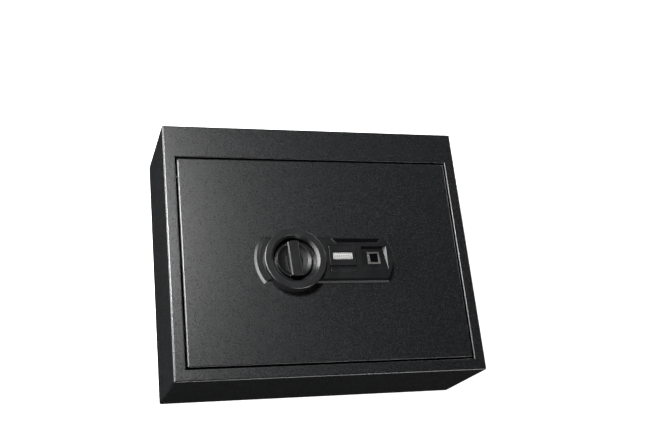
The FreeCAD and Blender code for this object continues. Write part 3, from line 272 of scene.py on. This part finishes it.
BLACK = (0.0021, 0.0024, 0.0028)
# colour of the painted glints on the powder coat
GLINT_COLOUR = (0.070, 0.072, 0.076)
materials = {
    "case_paint": powder_coat("case_paint", BLACK, GLINT_COLOUR),
    "lid_paint": powder_coat("lid_paint", BLACK, GLINT_COLOUR),
    "panel_plastic": moulded_plastic("panel_plastic", (0.0035, 0.0037, 0.0041), 0.33, shine=0.45),
    "ring_plastic": moulded_plastic("ring_plastic", (0.007, 0.0072, 0.0077), 0.30,
                                    relief=0.01, smudge=0.02, shine=0.55),
    "knob_plastic": moulded_plastic("knob_plastic", (0.004, 0.0042, 0.0046), 0.36, shine=0.3),
    "window_smoke": smooth_gloss("window_smoke", (0.002, 0.002, 0.0025)),
    "plate_metal": brushed_metal("plate_metal", (0.93, 0.93, 0.92), 0.42, scale=300, relief=0.05),
    "bezel_metal": brushed_metal("bezel_metal", (0.62, 0.61, 0.58), 0.30),
    "reader_black": smooth_gloss("reader_black", (0.0015, 0.0015, 0.002)),
    "zinc": zinc_plate("zinc", (0.66, 0.66, 0.64)),
    "bright_steel": brushed_metal("bright_steel", (0.68, 0.68, 0.69), 0.22),
    "black_steel": brushed_metal("black_steel", (0.05, 0.05, 0.052), 0.4),
    "rubber_black": matt_rubber("rubber_black", (0.012, 0.012, 0.012)),
    "foam_grey": pile_fabric("foam_grey", (0.03, 0.031, 0.034)),
    "brass_metal": brushed_metal("brass_metal", (0.72, 0.55, 0.27), 0.28),
    "copper_coil": brushed_metal("copper_coil", (0.62, 0.27, 0.12), 0.3,
                                 along=(0, 0, 1), scale=700, relief=0.6),
    "inner_plastic": moulded_plastic("inner_plastic", (0.016, 0.0165, 0.017), 0.5, grain=500, relief=0.3),
    "board_green": solder_mask("board_green", (0.015, 0.13, 0.05)),
    "chip_black": moulded_plastic("chip_black", (0.015, 0.015, 0.015), 0.5, grain=700, relief=0.2),
    "cell_wrap": moulded_plastic("cell_wrap", (0.09, 0.09, 0.10), 0.28),
    "button_red": moulded_plastic("button_red", (0.5, 0.02, 0.015), 0.4, relief=0.05),
    "wire_red": moulded_plastic("wire_red", (0.4, 0.02, 0.015), 0.45, relief=0.05),
}

for part in frame["record"]["subparts"]:
    shown = frame["nodes"][part["node"]]
    shown.data.materials.clear()
    shown.data.materials.append(materials[part["material_slot"]])


# ---------------------------------------------------------------- pieces made here

def new_piece(name, points, faces, body, slot, smooth=True):
    """Mesh piece that rides on a body and takes its finish from one of the record's slots."""
    mesh = bpy.data.meshes.new(name)
    mesh.from_pydata(points, [], faces)
    mesh.validate()
    mesh.update()
    if smooth:
        mesh.shade_smooth()
    else:
        mesh.shade_flat()
    piece = bpy.data.objects.new(name, mesh)
    bpy.context.scene.collection.objects.link(piece)
    mesh.materials.append(materials[slot])
    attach(piece, body)
    return piece


def prism(points, faces, outline, low, high):
    """Add a flat-ended prism over an outline of (x, y)."""
    start = len(points)
    count = len(outline)
    points += [(x, y, low) for x, y in outline]
    points += [(x, y, high) for x, y in outline]
    faces.append(tuple(start + i for i in reversed(range(count))))
    faces.append(tuple(start + count + i for i in range(count)))
    for i in range(count):
        after = (i + 1) % count
        faces.append((start + i, start + after, start + count + after, start + count + i))


def rim(points, faces, low_corner, high_corner, inset, wide, low, high):
    """Add a thin rectangular frame made of four bars."""
    x0, y0 = low_corner[0] + inset, low_corner[1] + inset
    x1, y1 = high_corner[0] - inset, high_corner[1] - inset
    bars = [(x0, y0, x1, y0 + wide), (x0, y1 - wide, x1, y1),
            (x0, y0 + wide, x0 + wide, y1 - wide), (x1 - wide, y0 + wide, x1, y1 - wide)]
    for left, front, right, rear in bars:
        outline = [(left, front), (right, front), (right, rear), (left, rear)]
        prism(points, faces, outline, low, high)


def plate_marks():
    """Printed border and a plain row of dots on the key cover's plate."""
    low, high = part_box("cover_plate")
    thick = 0.06 * MM
    border_inset = 0.9 * MM
    border_wide = 0.3 * MM
    dots = 9
    dot_radius = 0.62 * MM
    dot_sides = 16
    margin = 3 * MM
    points, faces = [], []
    rim(points, faces, low, high, border_inset, border_wide, high[2], high[2] + thick)
    pitch = (high[0] - low[0] - 2 * margin) / (dots - 1)
    middle = (low[1] + high[1]) / 2
    turns = [math.tau * k / dot_sides for k in range(dot_sides)]
    for index in range(dots):
        x = low[0] + margin + pitch * index
        ring = [(x + dot_radius * math.cos(turn), middle + dot_radius * math.sin(turn))
                for turn in turns]
        prism(points, faces, ring, high[2], high[2] + thick)
    new_piece("plate_marks", points, faces, "key_cap", "window_smoke", smooth=False)


def islands(node):
    """Boxes of a node's separate pieces, as (lowest corner, highest corner)."""
    work = bmesh.new()
    work.from_mesh(frame["nodes"][node].data)
    left = set(work.verts)
    found = []
    while left:
        group = [left.pop()]
        for vertex in group:
            for edge in vertex.link_edges:
                other = edge.other_vert(vertex)
                if other in left:
                    left.remove(other)
                    group.append(other)
        places = [vertex.co for vertex in group]
        found.append((Vector(min(place[i] for place in places) for i in range(3)),
                      Vector(max(place[i] for place in places) for i in range(3))))
    work.free()
    return sorted(found, key=lambda box: tuple(box[0]))


def screw_cross_shade(name, node, body):
    """Painted shade: a thin dark cross drawn on the underside of each screw head, where its cross recess
    would lie in shadow.
    """
    points, faces = [], []
    long, wide, thick = 1.7 * MM, 0.35 * MM, 0.04 * MM
    for low, high in islands(node):
        x, y = (low[0] + high[0]) / 2, (low[1] + high[1]) / 2
        for half_x, half_y in ((long, wide), (wide, long)):
            prism(points, faces, [(x - half_x, y - half_y), (x + half_x, y - half_y),
                                  (x + half_x, y + half_y), (x - half_x, y + half_y)],
                  low[2] - thick, low[2])
    # the crosses are painted shade, given the black chip finish
    new_piece(name, points, faces, body, "chip_black", smooth=False)


def foam_mat():
    """Moulded foam mat: egg-crate relief, rounded rim, and round cut-outs over the fixing holes."""
    low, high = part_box("floor_liner")
    bolts = next(mount for mount in frame["record"]["mounts"] if mount["name"] == "floor_bolts")
    across = bolts["dims"]["spacing_x_mm"] * MM / 2
    along = bolts["dims"]["spacing_y_mm"] * MM / 2
    hole = bolts["dims"]["hole_r_mm"] * MM * 2
    centres = [(across * i, along * j) for i in (-1, 1) for j in (-1, 1)]
    step = 2.5 * MM
    wave = 30 * MM
    relief = 5.0 * MM
    rounding = 4 * MM
    # grid squares nearer to a hole than the first reach go; corners within the second move to it
    clear_reach = hole + step * 0.6
    snap_reach = hole + step * 1.1
    nx = round((high[0] - low[0]) / step)
    ny = round((high[1] - low[1]) / step)

    def grid(i, j):
        return low[0] + (high[0] - low[0]) * i / nx, low[1] + (high[1] - low[1]) * j / ny

    def height(x, y):
        swell = math.cos(math.tau * x / wave) * math.cos(math.tau * y / wave)
        settled = 0.25 * math.sin(x * 31 + 1.3) * math.sin(y * 27 + 0.4)
        top = high[2] - relief * (0.5 - 0.5 * swell) * (0.9 + 0.1 * settled)
        edge = min(x - low[0], high[0] - x, y - low[1], high[1] - y)
        if edge < rounding:
            near = 1 - edge / rounding
            top -= rounding * 0.5 * (1 - math.sqrt(max(0.0, 1 - near * near)))
        return top

    tops = []
    for i in range(nx):
        for j in range(ny):
            x, y = grid(i + 0.5, j + 0.5)
            if all(math.hypot(x - cx, y - cy) >= clear_reach for cx, cy in centres):
                tops.append(((i, j), (i + 1, j), (i + 1, j + 1), (i, j + 1)))

    points, number_of = [], {}
    for i, j in sorted({corner for face in tops for corner in face}):
        x, y = grid(i, j)
        for cx, cy in centres:
            away = math.hypot(x - cx, y - cy)
            if away < snap_reach:
                x, y = cx + (x - cx) * hole / away, cy + (y - cy) * hole / away
        number_of[(i, j)] = len(points)
        points.append((x, y, height(x, y)))
    shift = len(points)
    points += [(x, y, low[2]) for x, y, z in points]

    faces, open_edges = [], {}
    for corners in tops:
        top = [number_of[corner] for corner in corners]
        faces.append(tuple(top))
        faces.append(tuple(number + shift for number in reversed(top)))
        for start, end in zip(top, top[1:] + top[:1]):
            if (end, start) in open_edges:
                del open_edges[(end, start)]
            else:
                open_edges[(start, end)] = True
    for start, end in open_edges:
        faces.append((end, start, start + shift, end + shift))

    mat = new_piece("foam_mat", points, faces, "case", "foam_grey")
    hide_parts("floor_liner")


plate_marks()
# painted shade for the cross recesses of the cover screws
screw_cross_shade("cover_screw_painted_shade", "cover_screws", "lid")
foam_mat()

# ---------------------------------------------------------------- floor, lights and camera

def plain_floor():
    """White sheet just under the safe, clear from below so that the underside can be seen."""
    mesh = bpy.data.meshes.new("floor")
    low = -0.4 * MM
    half = 12.0
    corners = [(-half, -half, low), (half, -half, low), (half, half, low), (-half, half, low)]
    mesh.from_pydata(corners, [], [(0, 1, 2, 3)])
    floor = bpy.data.objects.new("floor", mesh)
    bpy.context.scene.collection.objects.link(floor)
    material, tree, shader = new_material("floor_white", (0.8, 0.8, 0.8), 0.8)
    shader.inputs["Emission Color"].default_value = (1.0, 1.0, 1.0, 1.0)
    shader.inputs["Emission Strength"].default_value = 0.95
    side = node_at(tree, "ShaderNodeNewGeometry", -300, -300)
    clear = node_at(tree, "ShaderNodeBsdfTransparent", 0, -300)
    choose = node_at(tree, "ShaderNodeMixShader", 300, 0)
    tree.links.new(side.outputs["Backfacing"], choose.inputs[0])
    tree.links.new(shader.outputs["BSDF"], choose.inputs[1])
    tree.links.new(clear.outputs["BSDF"], choose.inputs[2])
    tree.links.new(choose.outputs["Shader"], tree.nodes["Material Output"].inputs["Surface"])
    mesh.materials.append(material)
    floor.visible_glossy = False
    floor.visible_diffuse = False
    floor.visible_shadow = False


def softbox(name, place, aim, size, power):
    """White area light that the camera doesn't see."""
    data = bpy.data.lights.new(name, "AREA")
    data.shape = "RECTANGLE"
    data.size, data.size_y = size
    data.energy = power
    light = bpy.data.objects.new(name, data)
    light.location = place
    light.visible_camera = False
    light.rotation_euler = (Vector(aim) - Vector(place)).to_track_quat("-Z", "Y").to_euler()
    bpy.context.scene.collection.objects.link(light)


def studio_world(fill):
    """Pale surroundings for the camera, and a much dimmer fill for everything that they light."""
    world = bpy.data.worlds.new("studio")
    world.use_nodes = True
    tree = world.node_tree
    backdrop = tree.nodes["Background"]
    backdrop.inputs["Color"].default_value = (0.99, 0.99, 0.99, 1)
    path = tree.nodes.new("ShaderNodeLightPath")
    strength = tree.nodes.new("ShaderNodeMapRange")
    strength.inputs["To Min"].default_value = fill
    strength.inputs["To Max"].default_value = 1.0
    tree.links.new(path.outputs["Is Camera Ray"], strength.inputs["Value"])
    tree.links.new(strength.outputs["Result"], backdrop.inputs["Strength"])
    bpy.context.scene.world = world


def look(place, forward, up, lens):
    """Camera from its place and the directions that it looks along and holds upwards."""
    data = bpy.data.cameras.new("camera")
    data.lens = lens
    data.sensor_width = 36
    camera = bpy.data.objects.new("camera", data)
    back = -Vector(forward).normalized()
    right = Vector(up).cross(back).normalized()
    true_up = back.cross(right)
    turn = Matrix((right, true_up, back)).transposed().to_4x4()
    camera.matrix_world = Matrix.Translation(Vector(place)) @ turn
    bpy.context.scene.collection.objects.link(camera)
    bpy.context.scene.camera = camera


CAMERA_PLACE = (-0.32633, -0.34828, 1.10253)
CAMERA_FORWARD = (0.295749, 0.347764, -0.889715)
CAMERA_UP = (-0.007244, 0.932169, 0.361950)
CAMERA_LENS = 54.763

plain_floor()
softbox("rear_left", (-0.42, 0.38, 1.10), (-0.1, 0.02, 0.11), (0.27, 0.27), 23)
softbox("low_left", (-1.25, 0.05, 0.36), (0, 0, 0.1), (2.2, 0.34), 52)
softbox("rear_right", (1.5, 1.1, 0.22), (0.05, 0, 0.05), (1.4, 0.4), 30)
softbox("front_low", (0.7, -1.7, 0.35), (0, 0, 0.06), (1.6, 0.5), 20)
softbox("below", (0, 0, -0.7), (0, 0, 0), (0.2, 0.2), 5)
studio_world(0.014)
look(CAMERA_PLACE, CAMERA_FORWARD, CAMERA_UP, CAMERA_LENS)

bpy.context.scene.view_settings.view_transform = "Standard"
